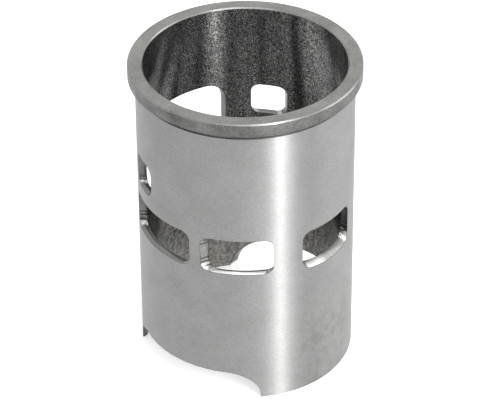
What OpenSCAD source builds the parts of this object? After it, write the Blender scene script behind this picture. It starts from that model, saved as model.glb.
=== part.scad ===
// Cylinder liner for a single-cylinder two-stroke engine, with a top flange, eight port windows
// and an arched skirt. One turned and milled piece of iron.
//
// The liner stands on its skirt. Z is the bore axis and z = 0 is the foot of the skirt.
// Depths are measured down from the top face, as on a port map.
// Angles are measured about the bore axis from +X, where the boost port looks out. The main
// exhaust port looks out along -X. Every side port has a mirror image across the XZ plane.
// A window is given by the angles of its two edges on the outside of the wall, and by an aim
// for each: the direction in which that side of the passage runs outward.

/* [Bore and wall] */
// Bore diameter
bore_d = 66; // [50:0.5:80]
// Wall thickness of the body
wall = 2.6; // [2:0.1:4]
// Total length, from the top face to the foot of the skirt
length = 109.6; // [105:0.1:130]

/* [Flange] */
// How far the flange stands out from the body
flange_step = 2.3; // [1:0.1:5]
// Thickness of the flange
flange_h = 4.5; // [3:0.1:10]
// Height of the grinding relief under the flange
relief_h = 2.4; // [1:0.1:4]
// Depth of the grinding relief
relief_depth = 0.35; // [0.1:0.05:0.8]

/* [Turned edges] */
// Chamfer at the top of the bore
bore_chamfer = 0.4; // [0.1:0.05:1]
// Chamfer on the upper edge of the flange
flange_chamfer = 0.4; // [0.1:0.05:1]
// Chamfer on the lower edge of the flange
seat_chamfer = 0.2; // [0.1:0.05:0.5]
// Chamfer on the outside of the foot
foot_chamfer = 0.4; // [0.1:0.05:1]
// Height of the ring lead-in at the bottom of the bore
lead_in_h = 5; // [1:0.5:8]
// Width of the ring lead-in, measured on the radius
lead_in_w = 1; // [0.2:0.1:1.4]

/* [Port heights] */
// Depth of the port sills, at the bottom of the stroke
sill_depth = 59; // [56:0.1:64]
// Depth of the roof of the main exhaust port
exhaust_roof = 29.1; // [24:0.1:36]
// Depth of the roof of the side exhaust ports
side_exhaust_roof = 29.9; // [24:0.1:34]
// Depth of the sill of the side exhaust ports
side_exhaust_sill = 41; // [38:0.1:44]
// Depth of the roof of the transfer ports
transfer_roof = 46; // [45:0.1:50]
// Depth of the roof of the boost port
boost_roof = 46.5; // [42:0.1:50]
// How far the outer edge of the boost port's sill lies below the other sills
boost_drop = 2.6; // [1.8:0.1:6]
// Slope of the boost port's sill, which climbs towards the bore
boost_ramp = 32; // [10:1:40]

/* [Port edges] */
// Outside edge of the main exhaust port
exhaust_edge = 144.2; // [138:0.1:155]
// Aim of the sides of the main exhaust port
exhaust_aim = 168.4; // [150:0.1:180]
// Edge of a side exhaust port, on the exhaust side
side_exhaust_front = 128.5; // [122:0.1:131]
// Edge of a side exhaust port, on the boost side
side_exhaust_rear = 108.8; // [100:0.1:114]
// Aim of both sides of a side exhaust port
side_exhaust_aim = 145; // [115:1:150]
// Edge of a primary transfer port, on the exhaust side
primary_front = 131.5; // [122:0.1:136]
// Angle of the bar between the two transfer ports of a side
transfer_bar = 6.5; // [5:0.1:12]
// Aim of a primary transfer port, on the exhaust side
primary_front_aim = 150; // [120:1:155]
// Aim of a primary transfer port, on the boost side
primary_rear_aim = 105; // [80:1:110]
// Edge of a secondary transfer port, on the exhaust side
secondary_front = 74.2; // [64:0.1:78]
// Edge of a secondary transfer port, on the boost side
secondary_rear = 35.1; // [30:0.1:42]
// Aim of a secondary transfer port, on the exhaust side
secondary_front_aim = 112.5; // [80:0.5:114]
// Aim of a secondary transfer port, on the boost side
secondary_rear_aim = 72; // [40:1:76]
// Edge of the boost port
boost_edge = 18.75; // [12:0.25:24]

/* [Port corners] */
// Corner radius of the main exhaust port
exhaust_corner = 6; // [2:0.5:10]
// Corner radius of the side exhaust ports
side_exhaust_corner = 2.8; // [1:0.1:3.2]
// Corner radius of the transfer and boost ports
transfer_corner = 3; // [1:0.1:4]

/* [Skirt] */
// Height of the arch on the -Y side
near_arch_h = 10.3; // [5:0.1:30]
// Height of the arch on the +Y side
far_arch_h = 15.5; // [5:0.1:30]
// Edge of both arches on the exhaust side
arch_front = 135.6; // [110:0.1:140]
// Edge of both arches on the boost side
arch_rear = 42.3; // [37:0.1:70]
// Corner radius of the arch on the -Y side
near_arch_corner = 9; // [2:0.5:12]
// Corner radius of the arch on the +Y side
far_arch_corner = 11; // [2:0.5:12]

/* [Hidden] */
bore_r = bore_d / 2;
body_r = bore_r + wall;
flange_r = body_r + flange_step;
relief_r = body_r - relief_depth;
seat_z = length - flange_h;
primary_rear = secondary_front + transfer_bar;
// The turned section starts here, in line with a primary transfer port.
turn_start = 105;
// How far a cutter passes the axis, the outside of the flange and the foot of the skirt.
past = 3;
$fn = 128;

module liner() {
    color([0.62, 0.62, 0.61])
    difference() {
        turned_blank();
        exhaust_ports();
        transfer_ports();
        boost_port();
        skirt_arches();
    }
}

// The turned shape: half of the section, spun about the bore axis.
module turned_blank() {
    rotate([0, 0, turn_start])
    rotate_extrude()
    polygon([
        [bore_r + lead_in_w, 0],
        [body_r - foot_chamfer, 0],
        [body_r, foot_chamfer],
        [body_r, seat_z - relief_h],
        [relief_r, seat_z - relief_h + relief_depth],
        [relief_r, seat_z],
        [flange_r - seat_chamfer, seat_z],
        [flange_r, seat_z + seat_chamfer],
        [flange_r, length - flange_chamfer],
        [flange_r - flange_chamfer, length],
        [bore_r + bore_chamfer, length],
        [bore_r, length - bore_chamfer],
        [bore_r, lead_in_h],
    ]);
}

// One wide main port and a small port on each side of it.
module exhaust_ports() {
    window(exhaust_edge, 360 - exhaust_edge, exhaust_aim, 360 - exhaust_aim,
           exhaust_roof, sill_depth, exhaust_corner);
    both_sides()
    window(side_exhaust_rear, side_exhaust_front, side_exhaust_aim, side_exhaust_aim,
           side_exhaust_roof, side_exhaust_sill, side_exhaust_corner);
}

// Two pairs of transfer ports, aimed away from the exhaust.
module transfer_ports() {
    both_sides() {
        window(primary_rear, primary_front, primary_rear_aim, primary_front_aim,
               transfer_roof, sill_depth, transfer_corner);
        window(secondary_rear, secondary_front, secondary_rear_aim, secondary_front_aim,
               transfer_roof, sill_depth, transfer_corner);
    }
}

// The boost port has a level roof and a sill that climbs towards the bore. The ramped window is
// square to its slope and covers the lower 70 % of the level one.
module boost_port() {
    ramp_sill = sill_depth + boost_drop;
    ramp_h = 0.7 * (ramp_sill - boost_roof) * cos(boost_ramp);
    window(-boost_edge, boost_edge, 0, 0, boost_roof, sill_depth, transfer_corner);
    window(-boost_edge, boost_edge, 0, 0, ramp_sill - ramp_h, ramp_sill, transfer_corner,
           boost_ramp);
}

// An arch on each side lets the crank webs pass. What is left stands on two feet. The sides of
// an arch run straight out along Y.
module skirt_arches() {
    mirror([0, 1, 0])
    skirt_arch(near_arch_h, near_arch_corner);
    skirt_arch(far_arch_h, far_arch_corner);
}

module skirt_arch(arch_h, corner) {
    window(arch_rear, arch_front, 90, 90, length - arch_h, length + corner + past, corner);
}

module both_sides() {
    children();
    mirror([0, 1, 0])
    children();
}

// A window through the wall, from edge a to edge b with b > a. It is what two wide passages share.
// Each runs outward along its own aim and has rounded corners at its own edge.
module window(a, b, aim_a, aim_b, roof, sill, corner, ramp = 0) {
    intersection() {
        passage(aim_a, body_r * sin(a - aim_a), 0, roof, sill, corner, ramp);
        passage(aim_b, body_r * sin(b - aim_b), 1, roof, sill, corner, ramp);
    }
}

// edge is measured square to the aim. turned is 1 where the passage lies to the right of its edge.
module passage(aim, edge, turned, roof, sill, corner, ramp) {
    rotate([0, 0, aim])
    translate([body_r, edge, length - sill])
    rotate([0, ramp, 0])
    mirror([0, turned, 0])
    translate([-body_r - past, 0, 0])
    rotate([90, 0, 90])
    linear_extrude(flange_r + 2 * past)
    passage_outline(2 * flange_r, sill - roof, corner);
}

// A rectangle with two round corners at x = 0.
module passage_outline(width, height, corner) {
    translate([corner, 0])
    square([width - corner, height]);
    translate([0, corner])
    square([width, height - 2 * corner]);
    translate([corner, corner])
    circle(corner);
    translate([corner, height - corner])
    circle(corner);
}

liner();
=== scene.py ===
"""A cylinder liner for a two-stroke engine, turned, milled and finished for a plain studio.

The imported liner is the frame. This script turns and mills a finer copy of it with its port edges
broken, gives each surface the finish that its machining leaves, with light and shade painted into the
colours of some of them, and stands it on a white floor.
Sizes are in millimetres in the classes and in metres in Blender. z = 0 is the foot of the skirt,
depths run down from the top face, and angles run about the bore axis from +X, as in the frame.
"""

from __future__ import annotations

import logging
import math
from collections.abc import Callable, Iterable, Sequence
from dataclasses import dataclass, field, replace
from enum import Enum
from types import TracebackType

import bmesh
import bpy
from mathutils import Matrix, Vector

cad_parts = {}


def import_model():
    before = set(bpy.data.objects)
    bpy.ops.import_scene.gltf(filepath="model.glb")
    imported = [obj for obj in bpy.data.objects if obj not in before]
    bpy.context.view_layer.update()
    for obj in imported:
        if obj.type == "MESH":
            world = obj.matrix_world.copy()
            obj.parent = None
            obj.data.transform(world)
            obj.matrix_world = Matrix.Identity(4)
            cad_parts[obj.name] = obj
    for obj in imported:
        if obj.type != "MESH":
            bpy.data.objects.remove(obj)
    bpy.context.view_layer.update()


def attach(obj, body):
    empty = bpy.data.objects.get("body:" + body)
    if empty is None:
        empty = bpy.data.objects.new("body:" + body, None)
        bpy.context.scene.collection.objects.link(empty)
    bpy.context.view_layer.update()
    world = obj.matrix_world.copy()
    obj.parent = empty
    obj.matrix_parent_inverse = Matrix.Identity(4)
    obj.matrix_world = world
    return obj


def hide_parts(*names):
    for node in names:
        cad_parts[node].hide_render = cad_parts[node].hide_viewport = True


LOG = logging.getLogger("liner")
MM = 0.001
# A test of a height is eased by this much, in millimetres.
HAIR = 0.01
# A corner is found within this distance of where it should be, in metres.
REACH = 1e-5
# Points nearer to each other than this are merged, in metres.
WELD = 1e-6
# The part of a turn that lays the streak of a highlight across the marks.
ACROSS = 0.25

Colour = tuple[float, float, float]
Socket = bpy.types.NodeSocket
Source = Socket | float | Sequence[float]


class Surface(Enum):
    """The machined surfaces of the liner. Each value is the surface's material slot."""

    BODY = 0
    BORE = 1
    TOP = 2
    PORT = 3
    RIM = 4
    EDGE = 5
    # SILL, FILLET, RAMP, BRIGHT_SILL and BRIGHT_PORT are copies of the milled iron in PORT, each painted
    # lighter for how the light falls on it.
    SILL = 6
    RELIEF = 7
    LEAD_IN = 8
    FILLET = 9
    RAMP = 10
    BRIGHT_SILL = 11
    BREAK = 12
    BRIGHT_PORT = 13


MILLED = (
    Surface.PORT,
    Surface.BRIGHT_PORT,
    Surface.SILL,
    Surface.BRIGHT_SILL,
    Surface.FILLET,
    Surface.RAMP,
)
TURNED = (Surface.BODY, Surface.BORE, Surface.RIM, Surface.RELIEF, Surface.LEAD_IN)
SILLS = (Surface.SILL, Surface.BRIGHT_SILL)


class Side(Enum):
    """The two sides of the liner, as the sign of Y."""

    NEAR = -1
    FAR = 1


class EditMode:
    """Edit mode on one object, which starts with nothing selected."""

    def __init__(self, piece: bpy.types.Object, kind: str = "VERT") -> None:
        """Remembers the object and whether vertices, edges or faces are selected in it."""
        self.piece = piece
        self.kind = kind

    def __enter__(self) -> bmesh.types.BMesh:
        """Opens edit mode.

        Returns:
            The mesh that is edited.
        """
        use_only(self.piece)
        bpy.ops.object.mode_set(mode="EDIT")
        bpy.ops.mesh.select_mode(type=self.kind)
        bpy.ops.mesh.select_all(action="DESELECT")
        return bmesh.from_edit_mesh(self.piece.data)

    def __exit__(
        self,
        kind: type[BaseException] | None,
        error: BaseException | None,
        trace: TracebackType | None,
    ) -> None:
        """Goes back to object mode."""
        bpy.ops.object.mode_set(mode="OBJECT")


def use_only(piece: bpy.types.Object) -> None:
    """Selects one object, makes it active and deselects all others.

    Args:
        piece: The object that the next operators work on.
    """
    for other in bpy.context.selected_objects:
        other.select_set(False)
    piece.select_set(True)
    bpy.context.view_layer.objects.active = piece


def select_where(
    mesh: bmesh.types.BMesh,
    items: Iterable[bmesh.types.BMVert] | Iterable[bmesh.types.BMEdge],
    test: Callable[[bmesh.types.BMVert | bmesh.types.BMEdge], bool],
) -> int:
    """Selects what passes a test in the open edit mesh and deselects the rest.

    Args:
        mesh: The mesh that is being edited.
        items: Its vertices or its edges.
        test: Says whether an item is wanted.

    Returns:
        How many items are selected.
    """
    bpy.ops.mesh.select_all(action="DESELECT")
    wanted = [item for item in items if test(item)]
    for item in wanted:
        item.select_set(True)
    mesh.select_flush_mode()
    return len(wanted)


@dataclass(frozen=True)
class Section:
    """Half of the liner's turned section."""

    bore_r: float = 33.0
    wall: float = 2.6
    length: float = 109.6
    flange_step: float = 2.3
    flange_h: float = 4.5
    relief_h: float = 2.4
    relief_depth: float = 0.35
    bore_chamfer: float = 0.4
    flange_chamfer: float = 0.4
    seat_chamfer: float = 0.2
    foot_chamfer: float = 0.4
    lead_in_h: float = 5.0
    lead_in_w: float = 1.0

    @property
    def middle_r(self) -> float:
        """Radius halfway through the wall."""
        return self.bore_r + self.wall / 2

    @property
    def body_r(self) -> float:
        """Radius of the ground body."""
        return self.bore_r + self.wall

    @property
    def flange_r(self) -> float:
        """Radius of the flange."""
        return self.body_r + self.flange_step

    @property
    def seat_z(self) -> float:
        """Height of the flange's seat above the foot."""
        return self.length - self.flange_h

    @property
    def relief_z(self) -> float:
        """Height of the bottom of the grinding relief above the foot."""
        return self.seat_z - self.relief_h

    def outline(self) -> list[tuple[float, float]]:
        """Draws the section.

        Returns:
            Its corners as radius and height, once round.
        """
        relief_r = self.body_r - self.relief_depth
        return [
            (self.bore_r + self.lead_in_w, 0.0),
            (self.body_r - self.foot_chamfer, 0.0),
            (self.body_r, self.foot_chamfer),
            (self.body_r, self.relief_z),
            (relief_r, self.relief_z + self.relief_depth),
            (relief_r, self.seat_z),
            (self.flange_r - self.seat_chamfer, self.seat_z),
            (self.flange_r, self.seat_z + self.seat_chamfer),
            (self.flange_r, self.length - self.flange_chamfer),
            (self.flange_r - self.flange_chamfer, self.length),
            (self.bore_r + self.bore_chamfer, self.length),
            (self.bore_r, self.length - self.bore_chamfer),
            (self.bore_r, self.lead_in_h),
        ]


@dataclass(frozen=True)
class Window:
    """A port window or skirt arch, milled through the wall from the outside.

    rear and front are the angles of its edges on the outside, and each edge's aim is the way in
    which that side of the passage runs outward. roof and sill are depths, corner is the radius of
    its corners and ramp is the slope of its sill. The block that cuts it starts inner_reach inside
    the wall and ends outer_reach outside the flange.
    """

    name: str
    rear: float
    front: float
    rear_aim: float
    front_aim: float
    roof: float
    sill: float
    corner: float
    ramp: float = 0.0
    corner_steps: int = 12
    inner_reach: float = 4.0
    outer_reach: float = 22.0

    def on_side(self, side: Side) -> Window:
        """Puts the window on one side of the liner.

        Args:
            side: The side that it is wanted on.

        Returns:
            This window on the far side, or its mirror image on the near one.
        """
        if side is Side.FAR:
            return self
        return replace(
            self,
            rear=-self.front,
            front=-self.rear,
            rear_aim=-self.front_aim,
            front_aim=-self.rear_aim,
        )

    def cutter(self, section: Section) -> bpy.types.Object:
        """Shapes the block that the window takes out of the wall.

        Args:
            section: The turned section that the window is milled in.

        Returns:
            A closed block from inside the bore to outside the flange, with its corners rounded.
        """
        inner, outer = section.bore_r - self.inner_reach, section.flange_r + self.outer_reach
        height = (self.sill - self.roof) * MM
        middle = (section.length - (self.sill + self.roof) / 2) * MM
        bpy.ops.mesh.primitive_cube_add(size=1, location=(0, 0, middle), scale=(1, 1, height))
        block = bpy.context.object
        block.name = self.name
        bpy.ops.object.transform_apply(location=True, rotation=False, scale=True)
        plan = {
            (-1, -1): self.point(section, self.rear, self.rear_aim, inner),
            (1, -1): self.point(section, self.rear, self.rear_aim, outer),
            (1, 1): self.point(section, self.front, self.front_aim, outer),
            (-1, 1): self.point(section, self.front, self.front_aim, inner),
        }
        with EditMode(block) as mesh:
            for (x, y), place in plan.items():
                corner = Vector((x / 2, y / 2, 0))
                select_where(mesh, mesh.verts, lambda v, at=corner.xy: (v.co.xy - at).length < REACH)
                bpy.ops.transform.translate(value=place - corner)
        self.round_corners(block, (inner + outer) / 2 * MM)
        if self.ramp:
            self.tilt(block, section)
        return block

    def round_corners(self, block: bpy.types.Object, halfway: float) -> None:
        """Rounds the long edges of the block, which run outward.

        Args:
            block: The block, with its sides laid.
            halfway: A radius between its inner and its outer end, in metres.
        """
        with EditMode(block, "EDGE") as mesh:
            select_where(
                mesh,
                mesh.edges,
                lambda e: len({vert.co.xy.length < halfway for vert in e.verts}) == 2,
            )
            bpy.ops.mesh.bevel(
                offset=self.corner * MM,
                segments=self.corner_steps,
                profile=0.5,
                affect="EDGES",
                clamp_overlap=False,
            )

    def tilt(self, block: bpy.types.Object, section: Section) -> None:
        """Turns the block about its sill's outer edge, so that it climbs towards the bore.

        Args:
            block: The block, with its corners rounded.
            section: The turned section, for the place of the edge.
        """
        hinge = Vector((section.body_r, 0, section.length - self.sill)) * MM
        turn = Matrix.Rotation(math.radians(self.ramp), 4, "Y")
        block.matrix_world = Matrix.Translation(hinge) @ turn @ Matrix.Translation(-hinge)
        use_only(block)
        bpy.ops.object.transform_apply(location=True, rotation=True, scale=True)

    @staticmethod
    def point(section: Section, edge: float, aim: float, radius: float) -> Vector:
        """Finds where one side of the passage crosses a circle about the bore axis.

        Args:
            section: The turned section, for the radius at which edges are given.
            edge: Angle of the edge on the outside of the wall, in degrees.
            aim: Angle in which the side runs outward, in degrees.
            radius: Radius of the circle, in millimetres.

        Returns:
            The place, in metres.
        """
        offset = section.body_r * math.sin(math.radians(edge - aim))
        angle = math.radians(aim) + math.asin(offset / radius)
        return Vector((math.cos(angle), math.sin(angle), 0)) * radius * MM


@dataclass(frozen=True)
class PortMap:
    """Where the windows and arches of the liner lie.

    The boost port's sill climbs towards the bore at boost_slope, from boost_drop below the other
    sills. Its ramped window is square to its slope and covers ramp_share of the level one.
    arch_past is how far the cutter of an arch passes the foot.
    """

    sill: float = 59.0
    transfer_roof: float = 46.0
    transfer_corner: float = 3.0
    boost_drop: float = 2.6
    boost_slope: float = 32.0
    ramp_share: float = 0.7
    near_arch_h: float = 10.3
    far_arch_h: float = 15.5
    arch_past: float = 12.0

    def windows(self, section: Section) -> list[Window]:
        """Lays the windows out.

        Args:
            section: The turned section, for its length.

        Returns:
            Every window and arch, in the order in which they are milled.
        """
        main = Window(
            "main_exhaust", rear=144.2, front=215.8, rear_aim=168.4, front_aim=191.6,
            roof=29.1, sill=self.sill, corner=6.0,
        )
        side = Window(
            "side_exhaust", rear=108.8, front=128.5, rear_aim=145.0, front_aim=145.0,
            roof=29.9, sill=41.0, corner=2.8,
        )
        primary = Window(
            "primary_transfer", rear=80.7, front=131.5, rear_aim=105.0, front_aim=150.0,
            roof=self.transfer_roof, sill=self.sill, corner=self.transfer_corner,
        )
        secondary = Window(
            "secondary_transfer", rear=35.1, front=74.2, rear_aim=72.0, front_aim=112.5,
            roof=self.transfer_roof, sill=self.sill, corner=self.transfer_corner,
        )
        boost = Window(
            "boost", rear=-18.75, front=18.75, rear_aim=0.0, front_aim=0.0,
            roof=46.5, sill=self.sill, corner=self.transfer_corner,
        )
        far_arch = Window(
            "far_arch", rear=42.3, front=135.6, rear_aim=90.0, front_aim=90.0,
            roof=section.length - self.far_arch_h, sill=section.length + self.arch_past, corner=11.0,
        )
        near_arch = replace(
            far_arch, name="near_arch", roof=section.length - self.near_arch_h, corner=9.0
        )
        paired = [window.on_side(s) for window in (side, primary, secondary) for s in Side]
        return [main, *paired, boost, self.ramped(boost), far_arch, near_arch.on_side(Side.NEAR)]

    def ramped(self, boost: Window) -> Window:
        """Makes the sloping window of the boost port.

        Args:
            boost: The level window.

        Returns:
            The window that cuts the ramp.
        """
        sill = self.sill + self.boost_drop
        height = self.ramp_share * (sill - boost.roof) * math.cos(math.radians(self.boost_slope))
        return replace(boost, name="boost_ramp", roof=sill - height, sill=sill, ramp=self.boost_slope)


class Graph:
    """A node tree, with short calls for adding and joining nodes."""

    def __init__(self, tree: bpy.types.NodeTree) -> None:
        """Holds the tree that the calls work on."""
        self.tree = tree

    @classmethod
    def on(cls, holder: bpy.types.Material | bpy.types.World) -> Graph:
        """Clears the nodes of a material or of the world.

        Args:
            holder: The material or the world.

        Returns:
            A graph on its empty tree.
        """
        holder.use_nodes = True
        holder.node_tree.nodes.clear()
        return cls(holder.node_tree)

    def add(self, kind: str, *sources: Source, **settings: object) -> bpy.types.Node:
        """Adds a node, sets its options and feeds its inputs.

        Args:
            kind: Blender's name for the node's type.
            sources: What its inputs get, from the first on.
            settings: Options of the node, by name.

        Returns:
            The new node.
        """
        node = self.tree.nodes.new(kind)
        for name, value in settings.items():
            setattr(node, name, value)
        for place, source in enumerate(sources):
            self.feed(node, place, source)
        return node

    def feed(self, node: bpy.types.Node, socket: str | int, source: Source) -> None:
        """Joins an input to an output, or sets it to a plain value.

        Args:
            node: The node that is fed.
            socket: The input's name or number.
            source: The output of another node, or the value.
        """
        target = node.inputs[socket]
        if isinstance(source, Socket):
            self.tree.links.new(source, target)
        else:
            target.default_value = source

    def place(self) -> Socket:
        """Returns the place on the object, in metres."""
        return self.add("ShaderNodeTexCoord").outputs["Object"]

    def axes(self, place: Source) -> tuple[Socket, ...]:
        """Returns the X, Y and Z of a place."""
        return tuple(self.add("ShaderNodeSeparateXYZ", place).outputs)

    def joined(self, x: Source, y: Source, z: Source = 0.0) -> Socket:
        """Returns the place that three values make."""
        return self.add("ShaderNodeCombineXYZ", x, y, z).outputs[0]

    def length(self, place: Source) -> Socket:
        """Returns how far a place lies from the origin."""
        return self.add("ShaderNodeVectorMath", place, operation="LENGTH").outputs["Value"]

    def math(self, operation: str, *sources: Source) -> Socket:
        """Returns the result of a Math node on one to three values."""
        return self.add("ShaderNodeMath", *sources, operation=operation).outputs[0]

    def noise(
        self, place: Source, scale: float, detail: float = 2.0, roughness: float = 0.5
    ) -> Socket:
        """Adds a noise.

        Args:
            place: Where it is read.
            scale: How many waves lie on a metre.
            detail: How many finer layers it has.
            roughness: How strong each finer layer is.

        Returns:
            Its value, which lies about 0.5.
        """
        node = self.add("ShaderNodeTexNoise")
        self.feed(node, "Vector", place)
        self.feed(node, "Scale", scale)
        self.feed(node, "Detail", detail)
        self.feed(node, "Roughness", roughness)
        return node.outputs["Fac"]

    def spread(
        self, value: Source, low: float, high: float, to_low: float = 0.0, to_high: float = 1.0
    ) -> Socket:
        """Maps a value from one range to another, clamped at both ends.

        Args:
            value: The value.
            low: Where its range starts.
            high: Where its range ends.
            to_low: What low becomes.
            to_high: What high becomes.

        Returns:
            The mapped value.
        """
        return self.add("ShaderNodeMapRange", value, low, high, to_low, to_high).outputs["Result"]

    def mix(self, share: Source, first: Source, second: Source) -> Socket:
        """Mixes two colours.

        Args:
            share: How much of the second colour is taken, from 0 to 1.
            first: One colour.
            second: The other colour.

        Returns:
            The mixed colour.
        """
        node = self.add("ShaderNodeMix", data_type="RGBA")
        self.feed(node, 0, share)
        self.feed(node, 6, first)
        self.feed(node, 7, second)
        return node.outputs[2]

    def group(self, group: Group, **sources: Source) -> bpy.types.Node:
        """Places a shared effect and feeds its inputs.

        Args:
            group: The shared effect.
            sources: What each input gets, by name, with _ for a space.

        Returns:
            The node that stands for it.
        """
        node = self.add("ShaderNodeGroup", node_tree=group.tree())
        for name, source in sources.items():
            self.feed(node, name.replace("_", " "), source)
        return node


@dataclass(frozen=True)
class Group:
    """A shared effect: a node group with named inputs and outputs, built once."""

    name: str
    inputs: tuple[str, ...] = ()
    outputs: tuple[str, ...] = ()

    def tree(self) -> bpy.types.NodeTree:
        """Gets the node group, which is built at the first call.

        Returns:
            The node group.
        """
        known = bpy.data.node_groups.get(self.name)
        if known:
            return known
        tree = bpy.data.node_groups.new(self.name, "ShaderNodeTree")
        tree.interface.new_socket("Place", in_out="INPUT", socket_type="NodeSocketVector")
        for name in self.inputs:
            tree.interface.new_socket(name, in_out="INPUT", socket_type="NodeSocketFloat")
        for name in self.outputs:
            tree.interface.new_socket(name, in_out="OUTPUT", socket_type="NodeSocketFloat")
        graph = Graph(tree)
        start = graph.add("NodeGroupInput")
        end = graph.add("NodeGroupOutput")
        for name, value in self.build(graph, start).items():
            graph.feed(end, name, value)
        return tree

    def build(self, graph: Graph, start: bpy.types.Node) -> dict[str, Socket]:
        """Builds the nodes of the effect.

        Args:
            graph: The group's own tree.
            start: The node that holds its inputs.

        Returns:
            What each output gives, by name.
        """
        raise NotImplementedError


@dataclass(frozen=True)
class Turning(Group):
    """Fine tool or wheel marks that run round the axis.

    Marks is how many lie on a metre along the axis, and the output lies about 0.5. around is how
    many waves a mark has on a metre of its own run.
    """

    name: str = "Turning marks"
    inputs: tuple[str, ...] = ("Marks",)
    outputs: tuple[str, ...] = ("Height",)
    around: float = 60.0

    def build(self, graph: Graph, start: bpy.types.Node) -> dict[str, Socket]:
        """Stretches a noise round the axis.

        Args:
            graph: The group's own tree.
            start: The node that holds its inputs.

        Returns:
            The height of the marks.
        """
        x, y, z = graph.axes(start.outputs["Place"])
        stretched = graph.joined(
            graph.math("MULTIPLY", x, self.around),
            graph.math("MULTIPLY", y, self.around),
            graph.math("MULTIPLY", z, start.outputs["Marks"]),
        )
        return {"Height": graph.noise(stretched, 1.0, 3.0, 0.6)}


@dataclass(frozen=True)
class Mottle(Group):
    """The stains and the grain of bare iron.

    Stain is soft patches about 8 mm wide, and Tone joins it with grains about half a millimetre
    wide. Both run from 0 to 1. Grain share is how much of Tone the grains make up. stains and
    grains are how many waves of each lie on a metre, and clear and full are the values of a noise
    at which one starts and is complete.
    """

    name: str = "Mottle"
    inputs: tuple[str, ...] = ("Grain share",)
    outputs: tuple[str, ...] = ("Stain", "Tone")
    stains: float = 110.0
    grains: float = 1900.0
    clear: float = 0.34
    full: float = 0.66

    def build(self, graph: Graph, start: bpy.types.Node) -> dict[str, Socket]:
        """Adds wide soft patches and a fine grain.

        Args:
            graph: The group's own tree.
            start: The node that holds its inputs.

        Returns:
            The stain, and the tone that it makes with the grain.
        """
        place, share = start.outputs["Place"], start.outputs["Grain share"]
        stain = graph.spread(graph.noise(place, self.stains, 6.0, 0.65), self.clear, self.full)
        grain = graph.spread(graph.noise(place, self.grains, 3.0, 0.65), self.clear, self.full)
        rest = graph.math("MULTIPLY", stain, graph.math("SUBTRACT", 1.0, share))
        return {"Stain": stain, "Tone": graph.math("MULTIPLY_ADD", grain, share, rest)}


@dataclass(frozen=True)
class IronFinish:
    """Bare iron with the marks of one way of machining.

    light and dark are the colours between which it varies. rough is its roughness, rough_change
    how far that varies, and streak how much wider a highlight is across the marks than along
    them. marks is how many marks lie on a metre, mark_h their height and mark_depth how much of
    it shows. grain is how much of the change of colour is fine grain, and not stain.
    """

    name: str
    light: Colour
    dark: Colour
    rough: float
    rough_change: float = 0.05
    streak: float = 0.0
    marks: float = 2500.0
    mark_h: float = 0.2
    mark_depth: float = 0.3
    grain: float = 0.5

    def material(self) -> bpy.types.Material:
        """Builds the material of this finish.

        Returns:
            The material.
        """
        made = bpy.data.materials.new(self.name)
        graph = Graph.on(made)
        shader = graph.add("ShaderNodeBsdfPrincipled")
        graph.add("ShaderNodeOutputMaterial", shader.outputs[0])
        graph.feed(shader, "Metallic", 1.0)
        graph.feed(shader, "Anisotropic", self.streak)
        graph.feed(shader, "Anisotropic Rotation", ACROSS)
        place = graph.place()
        mottle = graph.group(Mottle(), Place=place, Grain_share=self.grain)
        tone = graph.mix(mottle.outputs["Tone"], (*self.dark, 1), (*self.light, 1))
        graph.feed(shader, "Base Color", self.stained(graph, place, tone))
        low, high = self.rough - self.rough_change, self.rough + self.rough_change
        graph.feed(shader, "Roughness", graph.spread(mottle.outputs["Stain"], 0, 1, high, low))
        bump = graph.add("ShaderNodeBump")
        graph.feed(bump, "Strength", self.mark_depth)
        graph.feed(bump, "Distance", self.mark_h * MM)
        graph.feed(bump, "Height", self.relief(graph, place))
        graph.feed(shader, "Normal", bump.outputs[0])
        return made

    def relief(self, graph: Graph, place: Socket) -> Socket:
        """Returns the height of the marks that the machining leaves, about 0.5."""
        return graph.group(Turning(), Place=place, Marks=self.marks).outputs["Height"]

    def stained(self, graph: Graph, place: Socket, tone: Socket) -> Socket:
        """Returns the colour with what changes from one place to another, here nothing more."""
        return tone


@dataclass(frozen=True)
class MilledFinish(IronFinish):
    """A milled port wall, with a dark line painted at each height where the cutter took a new step,
    partly a step mark and partly painted shade of the step's facets.

    steps are the heights above the foot, step_width is the width of a line, and step_shade_tone and
    step_shade_share its colour and strength. Below painted_reflection_h, the arch on the +Y side is
    painted near white, a painted reflection of the white floor.
    """

    steps: tuple[float, ...] = (51.9, 53.4, 54.75, 60.5)
    step_width: float = 0.45
    step_shade_tone: Colour = (0.01, 0.01, 0.01)
    step_shade_share: float = 0.85
    # Painted reflection: the height below which, and the colour in which, the far arch's foot is painted
    # near white.
    painted_reflection_h: float = 5.5
    painted_reflection_tone: Colour = (0.95, 0.95, 0.94)

    def stained(self, graph: Graph, place: Socket, tone: Socket) -> Socket:
        """Draws the lines of the steps, partly painted shade, and paints the foot of the arch on the +Y
        side near white as a painted reflection of the white floor.

        Args:
            graph: The material's tree.
            place: The place on the object.
            tone: The colour of the iron.

        Returns:
            The colour with the painted shade lines and the painted reflection at the foot.
        """
        _, y, z = graph.axes(place)
        half = self.step_width / 2 * MM
        line = 0.0
        # Painted shade: a dark line at each step's height, partly a step mark and partly the shade of
        # its facets.
        for step in self.steps:
            gap = graph.math("ABSOLUTE", graph.math("SUBTRACT", z, step * MM))
            drawn = graph.spread(gap, half / 2, half * 1.5, self.step_shade_share, 0.0)
            line = graph.math("MAXIMUM", drawn, line)
        step_shaded = graph.mix(line, tone, (*self.step_shade_tone, 1))
        # Painted reflection: below this height the far arch's walls are painted near white, as if they
        # showed the white floor.
        edge = self.painted_reflection_h * MM
        foot = graph.spread(z, edge - MM / 2, edge + MM / 2, 1.0, 0.0)
        foot = graph.math("MULTIPLY", foot, graph.math("GREATER_THAN", y, 0.0))
        return graph.mix(foot, step_shaded, (*self.painted_reflection_tone, 1))


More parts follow.
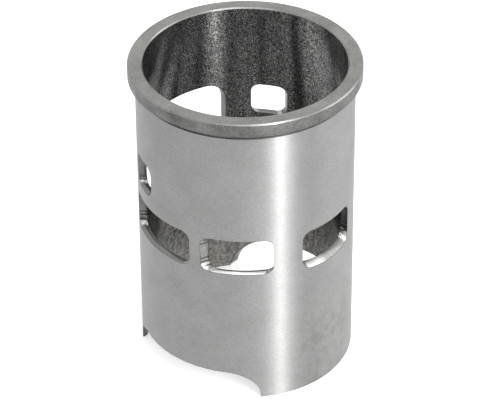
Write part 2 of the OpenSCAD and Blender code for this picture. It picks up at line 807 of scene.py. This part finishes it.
@dataclass(frozen=True)
class SillFinish(IronFinish):
    """A milled sill whose strip next to the bore is painted dark, painted shade standing in for a
    rounded inner edge turned away from the light. inner_r is that strip's radius.
    """

    inner_r: float = 33.8
    inner_shade_tone: Colour = (0.04, 0.04, 0.039)

    def stained(self, graph: Graph, place: Socket, tone: Socket) -> Socket:
        """Paints shade on the strip next to the bore.

        Args:
            graph: The material's tree.
            place: The place on the object.
            tone: The colour of the iron.

        Returns:
            The colour with the strip of painted shade.
        """
        x, y, _ = graph.axes(place)
        radius = graph.length(graph.joined(x, y))
        edge = self.inner_r * MM
        # Painted shade along the sill's inner edge.
        inner = graph.spread(radius, edge - MM / 10, edge + MM / 10, 1.0, 0.0)
        return graph.mix(inner, tone, (*self.inner_shade_tone, 1))


@dataclass(frozen=True)
class RampFinish(IronFinish):
    """A milled ramp with fine lines up its slope, which is painted darker towards +Y as painted shade.

    lines is how many lie on a metre across the slope and along how many waves one has on a metre up it.
    ramp_shade_from and ramp_shade_to are the places along Y between which the painted shade comes in.
    """

    lines: float = 2000.0
    along: float = 60.0
    line_tone: Colour = (0.1, 0.1, 0.1)
    line_share: float = 0.35
    ramp_shade_tone: Colour = (0.30, 0.30, 0.292)
    ramp_shade_from: float = -4.3
    ramp_shade_to: float = -0.6

    def stained(self, graph: Graph, place: Socket, tone: Socket) -> Socket:
        """Paints shade on one end of the ramp and draws its lines.

        Args:
            graph: The material's tree.
            place: The place on the object.
            tone: The colour of the iron.

        Returns:
            The colour with the painted shade at one end, and the lines.
        """
        x, y, _ = graph.axes(place)
        # Painted shade: the ramp is darkened towards +Y.
        worn = graph.spread(y, self.ramp_shade_from * MM, self.ramp_shade_to * MM)
        tone = graph.mix(worn, tone, (*self.ramp_shade_tone, 1))
        stretched = graph.joined(
            graph.math("MULTIPLY", x, self.along), graph.math("MULTIPLY", y, self.lines)
        )
        line = graph.spread(graph.noise(stretched, 1.0), 0.4, 0.62, 0.0, self.line_share)
        return graph.mix(line, tone, (*self.line_tone, 1))


@dataclass(frozen=True)
class BodyFinish(IronFinish):
    """A ground body, with faint rub marks low down on the boost side.

    rubbed is the colour of the marks, rub_share their strength and rubs how many waves of them lie
    on a metre. They fade in along X from rub_side to rub_full, and out in height from rub_from to
    rub_to.
    """

    rubbed: Colour = (0.19, 0.185, 0.165)
    rub_share: float = 0.6
    rubs: float = 250.0
    rub_side: float = 31.0
    rub_full: float = 34.5
    rub_from: float = 22.0
    rub_to: float = 38.0

    def stained(self, graph: Graph, place: Socket, tone: Socket) -> Socket:
        """Draws the rub marks where the side towards +X is low.

        Args:
            graph: The material's tree.
            place: The place on the object.
            tone: The colour of the iron.

        Returns:
            The colour with the rub marks.
        """
        x, _, z = graph.axes(place)
        low = graph.spread(z, self.rub_from * MM, self.rub_to * MM, 1.0, 0.0)
        side = graph.spread(x, self.rub_side * MM, self.rub_full * MM)
        patch = graph.spread(graph.noise(place, self.rubs, 6.0, 0.7), 0.46, 0.64, 0.0, self.rub_share)
        share = graph.math("MULTIPLY", graph.math("MULTIPLY", low, side), patch)
        return graph.mix(share, tone, (*self.rubbed, 1))


@dataclass(frozen=True)
class HonedFinish(IronFinish):
    """A honed bore: fine scratches that cross at a set angle, with a sparkle of open grain.

    cross is the lean of the scratches from level, run how many waves one has on a metre of its length,
    scratch their share of the relief and sparkle that of the grain, of which low_sparkle is left in the
    lower bore. The grain also darkens the colour in specks. sparkles, specks and stains are how many
    waves of each lie on a metre. From low_to down to low_from the bore turns brown, and from
    painted_foot_to down to painted_foot_from that brown is painted paler, painted light as from the
    floor below.
    """

    bore_r: float = Section.bore_r
    cross: float = 32.0
    run: float = 120.0
    scratch: float = 0.35
    sparkle: float = 1.0
    low_sparkle: float = 0.3
    sparkles: float = 1500.0
    specks: float = 2100.0
    speck_share: float = 0.62
    speck_tone: Colour = (0.0, 0.0, 0.0)
    stains: float = 900.0
    low_light: Colour = (0.17, 0.165, 0.153)
    low_dark: Colour = (0.03, 0.029, 0.026)
    painted_foot_light: Colour = (0.32, 0.312, 0.292)
    painted_foot_dark: Colour = (0.13, 0.127, 0.118)
    low_from: float = 52.0
    low_to: float = 62.0
    painted_foot_from: float = 13.0
    painted_foot_to: float = 27.0

    @staticmethod
    def below(graph: Graph, place: Socket, full: float, none: float) -> Socket:
        """Masks the bore below a height.

        Args:
            graph: The material's tree.
            place: The place on the object.
            full: Height up to which the mask is 1, in millimetres.
            none: Height from which it is 0.

        Returns:
            The mask.
        """
        return graph.spread(graph.axes(place)[2], full * MM, none * MM, 1.0, 0.0)

    def stained(self, graph: Graph, place: Socket, tone: Socket) -> Socket:
        """Breaks the colour up with open grain, and browns the lower bore, painted paler at its foot as
        painted light from the floor.

        Args:
            graph: The material's tree.
            place: The place on the object.
            tone: The colour of the iron.

        Returns:
            The colour with its grain, the brown that the rings never rub off, and the painted light at
            its foot.
        """
        speck = graph.spread(graph.noise(place, self.specks, 1.0), 0.4, 0.6, self.speck_share, 0.0)
        tone = graph.mix(speck, tone, (*self.speck_tone, 1))
        stain = graph.spread(graph.noise(place, self.stains, 4.0, 0.6), 0.36, 0.64)
        brown = graph.mix(stain, (*self.low_dark, 1), (*self.low_light, 1))
        # Painted light: the brown turns paler towards the foot, as if lit from the floor.
        painted_pale = graph.mix(stain, (*self.painted_foot_dark, 1), (*self.painted_foot_light, 1))
        brown = graph.mix(self.below(graph, place, self.painted_foot_from, self.painted_foot_to), brown, painted_pale)
        return graph.mix(self.below(graph, place, self.low_from, self.low_to), tone, brown)

    def relief(self, graph: Graph, place: Socket) -> Socket:
        """Crosses two sets of scratches, laid out on the unrolled bore, and adds the sparkle.

        Args:
            graph: The material's tree.
            place: The place on the object.

        Returns:
            The height of the scratches and the grain.
        """
        x, y, z = graph.axes(place)
        around = graph.math("MULTIPLY", graph.math("ARCTAN2", y, x), self.bore_r * MM)
        sets = []
        for lean, layer in ((self.cross, 3.0), (-self.cross, 7.0)):
            rise, level = math.sin(math.radians(lean)), math.cos(math.radians(lean))
            along = graph.math("MULTIPLY_ADD", z, rise, graph.math("MULTIPLY", around, level))
            across = graph.math("MULTIPLY_ADD", z, level, graph.math("MULTIPLY", around, -rise))
            stretched = graph.joined(
                graph.math("MULTIPLY", along, self.run),
                graph.math("MULTIPLY", across, self.marks),
                layer,
            )
            sets.append(graph.noise(stretched, 1.0, 2.0, 0.6))
        scratches = graph.math("MULTIPLY", graph.math("MINIMUM", *sets), self.scratch)
        low = self.below(graph, place, self.low_from, self.low_to)
        sparkle = graph.spread(low, 0.0, 1.0, self.sparkle, self.sparkle * self.low_sparkle)
        return graph.math("MULTIPLY_ADD", graph.noise(place, self.sparkles, 1.0), sparkle, scratches)


@dataclass(frozen=True)
class Sorting:
    """The limits by which a face is told from others, by its place and the way it faces.

    faced and level are the least rise of a normal on the top face and on a sill. straight is the
    least share of a normal that points straight out of the body or the flange, and inward that
    which points straight in, in the bore. flat is the rise above which a turned face isn't round.
    slope_slack is how far the rise of the ramp's normal may be off. fillet is the least rise in a
    window's lower corners, and side_fillet that in windows further from the boost port than the
    secondary transfer ports, which lie between secondary_from and secondary_to degrees. Below
    arch_top no wall belongs to a port.
    """

    faced: float = 0.99
    level: float = 0.985
    straight: float = 0.99
    inward: float = 0.9
    flat: float = 0.9
    slope_slack: float = 0.004
    fillet: float = 0.3
    side_fillet: float = 0.62
    secondary_from: float = 33.0
    secondary_to: float = 77.0
    arch_top: float = 30.0


@dataclass
class Liner:
    """The liner: a turned blank with its windows milled through and its edges broken.

    steps is how many flats the blank has round the axis. bore_break and outer_break are how much
    is taken off the edges of the windows, in the bore and outside. sill_roll is how far a sill's
    outer edge is shaded as worn over, in degrees, and faces that meet at less than smooth degrees
    are shaded as one.
    """

    section: Section = field(default_factory=Section)
    ports: PortMap = field(default_factory=PortMap)
    sorting: Sorting = field(default_factory=Sorting)
    steps: int = 200
    bore_break: float = 0.24
    outer_break: float = 0.1
    sill_roll: float = 40.0
    smooth: float = 28.0

    def turn(self) -> bpy.types.Object:
        """Turns the blank by drawing a ring round the section.

        Returns:
            The closed blank, with the bore axis on the Z axis.
        """
        points = self.section.outline()
        radius, height = points[0]
        bpy.ops.mesh.primitive_circle_add(
            vertices=self.steps, radius=radius * MM, location=(0, 0, height * MM)
        )
        blank = bpy.context.object
        blank.name = "liner_finished"
        bpy.ops.object.transform_apply(location=True)
        with EditMode(blank, "EDGE"):
            bpy.ops.mesh.select_all(action="SELECT")
            for new_radius, new_height in [*points[1:], points[0]]:
                rise = (new_height - height) * MM
                growth = new_radius / radius
                bpy.ops.mesh.extrude_edges_move(TRANSFORM_OT_translate={"value": (0, 0, rise)})
                bpy.ops.transform.resize(value=(growth, growth, 1), center_override=(0, 0, 0))
                radius, height = new_radius, new_height
            bpy.ops.mesh.select_all(action="SELECT")
            bpy.ops.mesh.remove_doubles(threshold=WELD)
            bpy.ops.mesh.normals_make_consistent(inside=False)
        return blank

    def mill(self, blank: bpy.types.Object) -> None:
        """Cuts every window through the wall, each with its own block.

        Args:
            blank: The turned blank, with its materials.
        """
        for window in self.ports.windows(self.section):
            block = window.cutter(self.section)
            block.data.materials.append(blank.data.materials[Surface.PORT.value])
            cut = blank.modifiers.new("Cut", "BOOLEAN")
            cut.operation = "DIFFERENCE"
            cut.solver = "EXACT"
            cut.material_mode = "TRANSFER"
            cut.object = block
            use_only(blank)
            bpy.ops.object.modifier_apply(modifier=cut.name)
            bpy.data.objects.remove(block)
            LOG.info("milled %s: %d faces", window.name, len(blank.data.polygons))

    def sort_surfaces(self, blank: bpy.types.Object) -> None:
        """Gives each face the slot of its surface.

        Args:
            blank: The milled blank, whose cut faces are all in the slot of the port walls.
        """
        for face in blank.data.polygons:
            milled = face.material_index == Surface.PORT.value
            kind = self.milled_at if milled else self.surface_at
            face.material_index = kind(face.center, face.normal).value

    def surface_at(self, centre: Vector, normal: Vector) -> Surface:
        """Names the surface that a turned face belongs to.

        Args:
            centre: Middle of the face, in metres.
            normal: The way in which it faces.

        Returns:
            The surface.
        """
        section, sorting = self.section, self.sorting
        radius, height = centre.xy.length / MM, centre.z / MM
        outward = normal.xy.dot(centre.xy.normalized())
        if normal.z > sorting.faced:
            return Surface.TOP
        if outward < -sorting.inward:
            return Surface.BORE if height > section.lead_in_h else Surface.LEAD_IN
        if outward > sorting.straight and radius > section.body_r + section.flange_step / 2:
            return Surface.RIM
        if outward > sorting.straight and radius > section.body_r - section.relief_depth / 2:
            return Surface.BODY
        return Surface.RELIEF if section.relief_z < height < section.seat_z + HAIR else Surface.EDGE

    def milled_at(self, centre: Vector, normal: Vector) -> Surface:
        """Names the surface that a milled face belongs to.

        Args:
            centre: Middle of the face, in metres.
            normal: The way in which it faces.

        Returns:
            The surface.
        """
        sorting = self.sorting
        # Painted light: faces of the milled iron that look up, and those in the secondary transfer
        # ports, get lighter copies of it.
        azimuth = abs(math.degrees(math.atan2(centre.y, centre.x)))
        secondary = sorting.secondary_from < azimuth < sorting.secondary_to
        if normal.z > sorting.level:
            return Surface.BRIGHT_SILL if secondary else Surface.SILL
        ramp_rise = math.cos(math.radians(self.ports.boost_slope))
        if abs(normal.z - ramp_rise) < sorting.slope_slack:
            return Surface.RAMP
        if normal.z > (sorting.side_fillet if azimuth > sorting.secondary_to else sorting.fillet):
            return Surface.FILLET
        in_port = centre.z > sorting.arch_top * MM
        return Surface.BRIGHT_PORT if secondary and in_port else Surface.PORT

    def break_edges(self, blank: bpy.types.Object) -> None:
        """Takes the sharpness off the edges of the windows, first in the bore and then outside.

        The lead-in has its own slope, so nothing is taken off the edges that it meets.

        Args:
            blank: The milled blank, with its surfaces sorted.
        """
        for inside, width in ((True, self.bore_break), (False, self.outer_break)):
            with EditMode(blank, "EDGE") as mesh:
                count = select_where(mesh, mesh.edges, lambda e, side=inside: self.is_lip(e, side))
                bpy.ops.mesh.bevel(
                    offset=width * MM,
                    segments=2,
                    profile=0.5,
                    affect="EDGES",
                    clamp_overlap=False,
                    material=Surface.BREAK.value,
                )
            LOG.info("broke %d edges by %.2f mm", count, width)

    def is_lip(self, edge: bmesh.types.BMEdge, inside: bool) -> bool:
        """Says whether an edge lies between a window's wall and the turned surface.

        Args:
            edge: An edge of the milled blank.
            inside: Whether edges in the bore are wanted, or those outside.

        Returns:
            Whether it is such an edge, on the side that is wanted.
        """
        if len(edge.link_faces) != 2:
            return False
        milled = [Surface(face.material_index) in MILLED for face in edge.link_faces]
        if milled[0] == milled[1]:
            return False
        lowest = (self.section.lead_in_h - HAIR) * MM if inside else 0.0
        if any(vert.co.z < lowest for vert in edge.verts):
            return False
        middle = self.section.middle_r * MM
        return all((vert.co.xy.length < middle) == inside for vert in edge.verts)

    def true_normals(self, blank: bpy.types.Object) -> None:
        """Shades each turned face as round, square to the bore axis, and each sill as worn over.

        A long strip beside a window has corners far apart, and would otherwise show as a flat. The
        other milled faces are left as they are.

        Args:
            blank: The milled blank, with its edges broken.
        """
        data = blank.data
        self.part_surfaces(data)
        normals = [Vector((0, 0, 0))] * len(data.loops)
        for face in data.polygons:
            surface = Surface(face.material_index)
            rise, out = face.normal.z, face.normal.xy.length
            if face.normal.xy.dot(face.center.xy) < 0:
                out = -out
            for place in face.loop_indices:
                corner = data.vertices[data.loops[place].vertex_index].co.xy
                if surface in SILLS:
                    normals[place] = self.worn_normal(corner)
                elif surface in TURNED and abs(rise) <= self.sorting.flat:
                    normals[place] = Vector((*(corner.normalized() * out), rise))
        data.normals_split_custom_set([tuple(normal) for normal in normals])

    def worn_normal(self, corner: Vector) -> Vector:
        """Shades one corner of a sill.

        Args:
            corner: The corner's place, as seen from above.

        Returns:
            A normal that leans outward at the sill's outer edge and is upright at its inner one.
        """
        outside = corner.length > self.section.middle_r * MM
        roll = math.radians(self.sill_roll if outside else 0.0)
        return Vector((*(corner.normalized() * math.sin(roll)), math.cos(roll)))

    @staticmethod
    def part_surfaces(data: bpy.types.Mesh) -> None:
        """Keeps the shading of turned faces and sills apart from that of the faces next to them.

        Args:
            data: The blank's mesh.
        """
        sides: dict[tuple[int, int], set[bool]] = {}
        for face in data.polygons:
            own = Surface(face.material_index) in (*TURNED, *SILLS)
            for key in face.edge_keys:
                sides.setdefault(key, set()).add(own)
        for edge in data.edges:
            if len(sides[edge.key]) == 2:
                edge.use_edge_sharp = True

    @staticmethod
    def finishes() -> dict[Surface, IronFinish]:
        """Chooses the finishes.

        Returns:
            The finish of each surface.
        """
        return {
            Surface.BODY: BodyFinish(
                "Ground iron", light=(0.315, 0.314, 0.312), dark=(0.225, 0.224, 0.222), rough=0.40,
                rough_change=0.01, streak=0.97, marks=12000.0, mark_depth=0.02, grain=0.72,
            ),
            Surface.BORE: HonedFinish(
                "Honed bore", light=(0.40, 0.396, 0.389), dark=(0.0, 0.0, 0.0), rough=0.27,
                rough_change=0.01, streak=1.0, marks=5000.0, mark_depth=0.03, grain=1.0,
            ),
            Surface.TOP: IronFinish(
                "Faced iron", light=(0.37, 0.367, 0.352), dark=(0.18, 0.178, 0.17), rough=0.5,
                rough_change=0.06, marks=3000.0, mark_depth=0.1, grain=0.55,
            ),
            # The milled walls, sills, fillets and ramp are one iron, painted lighter where they look up
            # and in the secondary transfer ports: painted light.
            Surface.PORT: MilledFinish(
                "Milled iron", light=(0.16, 0.159, 0.155), dark=(0.07, 0.069, 0.067), rough=0.30
            ),
            Surface.BRIGHT_PORT: MilledFinish(
                "Milled iron, painted light", light=(0.28, 0.279, 0.275), dark=(0.15, 0.149, 0.146), rough=0.30
            ),
            Surface.RIM: IronFinish(
                "Turned rim", light=(0.205, 0.204, 0.201), dark=(0.065, 0.064, 0.063), rough=0.43,
                rough_change=0.03, streak=0.75, marks=4000.0, mark_depth=0.15,
            ),
            Surface.EDGE: IronFinish(
                "Broken edge", light=(0.34, 0.34, 0.335), dark=(0.18, 0.18, 0.177), rough=0.27,
                marks=3000.0, mark_depth=0.1,
            ),
            # Painted light: the sills are paler than the port walls because they look up, and those of
            # the secondary transfer ports paler still.
            Surface.SILL: IronFinish(
                "Milled sill", light=(0.27, 0.27, 0.267), dark=(0.15, 0.15, 0.148), rough=0.30
            ),
            Surface.BRIGHT_SILL: SillFinish(
                "Sill, painted light", light=(0.70, 0.70, 0.69), dark=(0.40, 0.40, 0.39), rough=0.30
            ),
            # Painted light: the lower corners are paler than the port walls because they look up; their
            # steps draw dark lines of painted shade.
            Surface.FILLET: MilledFinish(
                "Milled fillet", light=(0.50, 0.50, 0.49), dark=(0.32, 0.32, 0.31), rough=0.28,
                steps=(51.9, 53.4, 69.4),
            ),
            # Painted light: the ramp is painted far paler than the port walls.
            Surface.RAMP: RampFinish(
                "Milled ramp", light=(0.82, 0.82, 0.79), dark=(0.58, 0.58, 0.56), rough=0.34,
                mark_depth=0.1, grain=0.7,
            ),
            # Painted shade: the broken port edges are darker than the port walls, for the dark outline
            # round each window.
            Surface.BREAK: MilledFinish(
                "Broken port edge, painted shade", light=(0.12, 0.12, 0.118), dark=(0.05, 0.05, 0.049), rough=0.4,
                marks=3000.0, mark_depth=0.1, steps=(),
            ),
            # Painted shade: the groove under the flange gets a darker iron than the body, for the shade
            # under the flange's overhang.
            Surface.RELIEF: IronFinish(
                "Relief groove, painted shade", light=(0.14, 0.139, 0.137), dark=(0.07, 0.07, 0.068), rough=0.45,
                marks=4000.0, mark_depth=0.1,
            ),
            # Painted reflection: the lead-in is near white, far paler than the iron, so that it shows
            # white like the floor it faces; its slope also reflects the floor for real.
            Surface.LEAD_IN: IronFinish(
                "Lead-in, painted reflection", light=(0.94, 0.94, 0.93), dark=(0.80, 0.80, 0.79), rough=0.22,
                rough_change=0.04, marks=3000.0, mark_depth=0.1,
            ),
        }

    def dress(self, blank: bpy.types.Object) -> None:
        """Gives the blank one material slot for each surface.

        Args:
            blank: The turned blank.
        """
        finishes = self.finishes()
        for surface in Surface:
            blank.data.materials.append(finishes[surface].material())

    def build(self) -> bpy.types.Object:
        """Makes the finished liner.

        Returns:
            The liner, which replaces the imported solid.
        """
        blank = self.turn()
        self.dress(blank)
        self.mill(blank)
        self.sort_surfaces(blank)
        self.break_edges(blank)
        use_only(blank)
        bpy.ops.object.shade_smooth_by_angle(angle=math.radians(self.smooth))
        self.true_normals(blank)
        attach(blank, "root")
        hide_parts("liner")
        LOG.info("%s has %d faces", blank.name, len(blank.data.polygons))
        return blank


@dataclass(frozen=True)
class Lamp:
    """A soft lamp, which hangs at an angle about the liner and shines at its middle.

    Its distance, width and height are in metres, and its power is in watts.
    """

    name: str
    azimuth: float
    elevation: float
    distance: float
    width: float
    height: float
    power: float

    def hang(self, aim: Vector) -> bpy.types.Object:
        """Hangs the lamp.

        Args:
            aim: The point that it shines at, in metres.

        Returns:
            The lamp.
        """
        turn, rise = math.radians(self.azimuth), math.radians(self.elevation)
        away = Vector((math.cos(turn) * math.cos(rise), math.sin(turn) * math.cos(rise), math.sin(rise)))
        light = bpy.data.lights.new(self.name, "AREA")
        light.shape = "RECTANGLE"
        light.size, light.size_y = self.width, self.height
        light.energy = self.power
        lamp = bpy.data.objects.new(self.name, light)
        bpy.context.scene.collection.objects.link(lamp)
        lamp.location = aim + away * self.distance
        lamp.rotation_euler = away.to_track_quat("Z", "Y").to_euler()
        return lamp


@dataclass(frozen=True)
class Studio:
    """A white floor and a white room, with five soft lamps.

    The strip lamp draws the bright line down the body and the soft box spreads it. The side lamp
    and the front lamp lighten the sides, and the overhead lamp lights the top face and the sills.
    floor_size is in metres, and the lamps shine at aim_z above the floor.
    """

    floor_size: float = 6.0
    floor_tone: float = 0.8
    floor_glow: float = 0.55
    room_light: float = 0.55
    aim_z: float = 55.0
    lamps: tuple[Lamp, ...] = (
        Lamp("Strip lamp", -15.4, 30.0, 1.2, 0.04, 1.0, 9.5),
        Lamp("Soft box", -13.0, 30.0, 1.3, 0.5, 0.9, 8.0),
        Lamp("Side lamp", 50.0, 25.0, 1.6, 1.2, 0.9, 6.0),
        Lamp("Front lamp", -35.0, 45.0, 1.3, 0.4, 0.6, 2.0),
        Lamp("Overhead lamp", -49.4, 82.0, 1.4, 1.1, 1.1, 5.0),
    )

    def lay_floor(self) -> bpy.types.Object:
        """Lays the floor, which looks white to the camera and in reflections and keeps a shadow.

        Returns:
            The floor.
        """
        bpy.ops.mesh.primitive_plane_add(size=self.floor_size, location=(0, 0, 0))
        floor = bpy.context.object
        floor.name = "floor"
        made = bpy.data.materials.new("White floor")
        graph = Graph.on(made)
        matt = graph.add("ShaderNodeBsdfDiffuse", (*(self.floor_tone,) * 3, 1))
        glow = graph.add("ShaderNodeEmission")
        graph.feed(glow, "Strength", graph.math("MULTIPLY", self.seen(graph), self.floor_glow))
        both = graph.add("ShaderNodeAddShader", matt.outputs[0], glow.outputs[0])
        graph.add("ShaderNodeOutputMaterial", both.outputs[0])
        floor.data.materials.append(made)
        return floor

    @staticmethod
    def seen(graph: Graph) -> Socket:
        """Tells the rays that see a surface from those that only light it.

        Args:
            graph: The tree of the floor or the room.

        Returns:
            1 for camera, glossy and transmission rays, and 0 for the rest.
        """
        path = graph.add("ShaderNodeLightPath")
        either = graph.math("MAXIMUM", path.outputs["Is Camera Ray"], path.outputs["Is Glossy Ray"])
        return graph.math("MAXIMUM", either, path.outputs["Is Transmission Ray"])

    def light_room(self) -> None:
        """Sets the room: white where it is seen, and softer where it only lights."""
        world = bpy.data.worlds.new("White room")
        graph = Graph.on(world)
        strength = graph.spread(self.seen(graph), 0, 1, self.room_light, 1.0)
        back = graph.add("ShaderNodeBackground", (1, 1, 1, 1), strength)
        graph.add("ShaderNodeOutputWorld", back.outputs[0])
        bpy.context.scene.world = world

    def build(self) -> None:
        """Builds the floor, the room and the lamps."""
        self.lay_floor()
        self.light_room()
        for lamp in self.lamps:
            lamp.hang(Vector((0, 0, self.aim_z * MM)))


@dataclass(frozen=True)
class Camera:
    """The camera, at the photograph's viewing angle.

    heading turns it about the bore axis, pitch is how far it looks down from the horizon, and roll
    tips it, all in degrees. near and far are the distances between which it sees, in metres.
    """

    place: tuple[float, float, float] = (484.93, -565.77, 571.68)
    heading: float = 40.5026
    pitch: float = 34.7212
    roll: float = -0.3323
    lens: float = 197.167
    sensor: float = 36.0
    near: float = 0.05
    far: float = 20.0

    def build(self) -> bpy.types.Object:
        """Sets the camera up and makes it the scene's.

        Returns:
            The camera.
        """
        data = bpy.data.cameras.new("Camera")
        data.lens = self.lens
        data.sensor_width = self.sensor
        data.clip_start, data.clip_end = self.near, self.far
        camera = bpy.data.objects.new("Camera", data)
        bpy.context.scene.collection.objects.link(camera)
        turn = Matrix.Rotation(math.radians(self.heading), 4, "Z")
        tilt = Matrix.Rotation(math.radians(90 - self.pitch), 4, "X")
        roll = Matrix.Rotation(math.radians(self.roll), 4, "Z")
        camera.matrix_world = Matrix.Translation(Vector(self.place) * MM) @ turn @ tilt @ roll
        bpy.context.scene.camera = camera
        return camera


def main() -> None:
    """Builds the camera, the studio and the liner."""
    logging.basicConfig(level=logging.INFO, format="%(name)s: %(message)s")
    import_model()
    bpy.context.scene.view_settings.view_transform = "Standard"
    Camera().build()
    Studio().build()
    Liner().build()
    bpy.context.view_layer.update()


if __name__ == "__main__":
    main()
